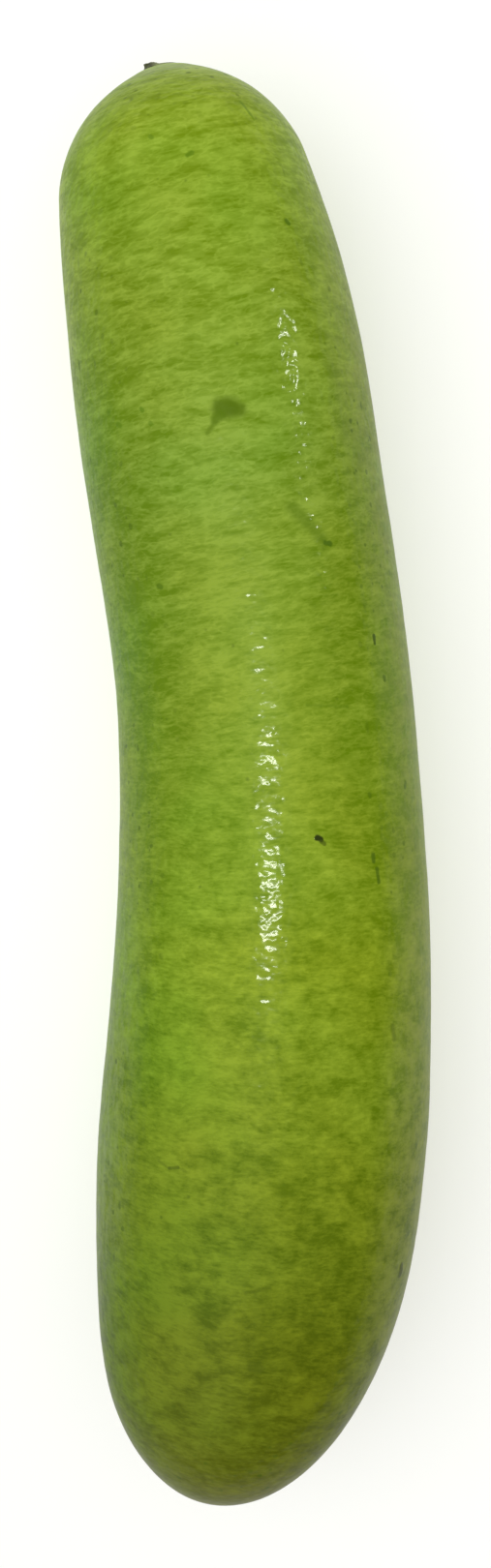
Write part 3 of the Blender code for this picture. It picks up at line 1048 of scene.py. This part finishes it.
stalk_tree.links.new(dry_roughness.outputs[0], dry.inputs["Roughness"])
dry_bump = add(
    stalk_tree, "Bump", Height=fibres.outputs["Fac"], Distance=FIBRE_RELIEF * MM, Strength=1.0
)
stalk_tree.links.new(dry_bump.outputs["Normal"], dry.inputs["Normal"])
stub_mesh.materials.append(stalk)
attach(stub, "root")
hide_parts("stem_stub")

# The surface that the gourd lies on: a seamless sheet of matte white card, with no gloss.
# It reaches 4 m to each side, so its edge is far outside the camera's view.
CARD_REACH = 4.0
card = bpy.data.materials.new("matte_white_card")
card.use_nodes = True
card_shader = card.node_tree.nodes["Principled BSDF"]
card_shader.inputs["Base Color"].default_value = srgb("#fcfcfc")
card_shader.inputs["Roughness"].default_value = 0.9
card_mesh = bpy.data.meshes.new("card")
card_corners = [(CARD_REACH * x, CARD_REACH * y, 0) for x, y in ((-1, -1), (1, -1), (1, 1), (-1, 1))]
card_mesh.from_pydata(card_corners, [], [(0, 1, 2, 3)])
floor = bpy.data.objects.new("card", card_mesh)
bpy.context.collection.objects.link(floor)
card_mesh.materials.append(card)

# The light: a tent that glows overhead and on the left, and two bare lamps, a strip by the camera
# and a small one to the right, beyond the stem end. Their glints break up on the wax.
# Each glow of the tent has its direction, where it fades out and is full, and its strength.
LEAST_GLOW = 0.14
TENT_GLOWS = (
    ((0.0, 0.0, 1.0), 0.1, 0.9, 0.41),
    ((-0.70, -0.30, 0.65), 0.35, 0.95, 0.72),
)
world = bpy.data.worlds.new("tent")
world.use_nodes = True
tent = world.node_tree
skyward = add(tent, "TexCoord").outputs["Generated"]
glow = LEAST_GLOW
for toward, fades_at, full_at, strength in TENT_GLOWS:
    facing = add(
        tent, "VectorMath", {"operation": "DOT_PRODUCT"}, i0=skyward, i1=Vector(toward).normalized()
    ).outputs["Value"]
    glowing = add(
        tent,
        "MapRange",
        {"interpolation_type": "SMOOTHSTEP"},
        i0=facing,
        i1=fades_at,
        i2=full_at,
        i3=0.0,
        i4=strength,
    ).outputs[0]
    glow = add(tent, "Math", {"operation": "ADD"}, i0=glow, i1=glowing).outputs[0]
tent.links.new(glow, tent.nodes["Background"].inputs["Strength"])
tent.nodes["Background"].inputs["Color"].default_value = (1, 1, 1, 1)
bpy.context.scene.world = world

# Each lamp has its place and sides in metres, its power in watts, and whether it is turned to the
# fruit or points straight down. Neither casts a shadow, as the ground in the photograph is plain.
LAMPS = (
    ("strip_by_camera", (0.04, 0.032, 0.70), (0.12, 0.016), 1.9, False),
    ("lamp_right", (0.94, 0.53, 0.71), (0.05, 0.09), 2.6, True),
)
for name, spot, sides, power, turned in LAMPS:
    light = bpy.data.lights.new(name, "AREA")
    light.shape = "RECTANGLE"
    light.size, light.size_y = sides
    light.energy = power
    light.color = srgb("#fffff6")[:3]
    light.use_shadow = False
    lamp = bpy.data.objects.new(name, light)
    lamp.location = spot
    if turned:
        lamp.rotation_euler = (-Vector(spot)).to_track_quat("-Z", "Y").to_euler()
    bpy.context.collection.objects.link(lamp)

# The camera looks straight down, as in the photograph, with the stem end at the top.
# The picture is 507 by 1620 pixels, and its height is 36 mm on the sensor. Light is shown as it
# falls, with no film curve, as the materials above were matched that way.
CAMERA_PLACE = (0.00057, -0.00331, 0.619)
SENSOR_HEIGHT = 36.0
LENS = 50.0
camera_data = bpy.data.cameras.new("camera")
camera_data.sensor_fit = "VERTICAL"
camera_data.sensor_height = SENSOR_HEIGHT
camera_data.lens = LENS
camera = bpy.data.objects.new("camera", camera_data)
camera.location = CAMERA_PLACE
bpy.context.collection.objects.link(camera)
bpy.context.scene.camera = camera
bpy.context.scene.view_settings.view_transform = "Standard"
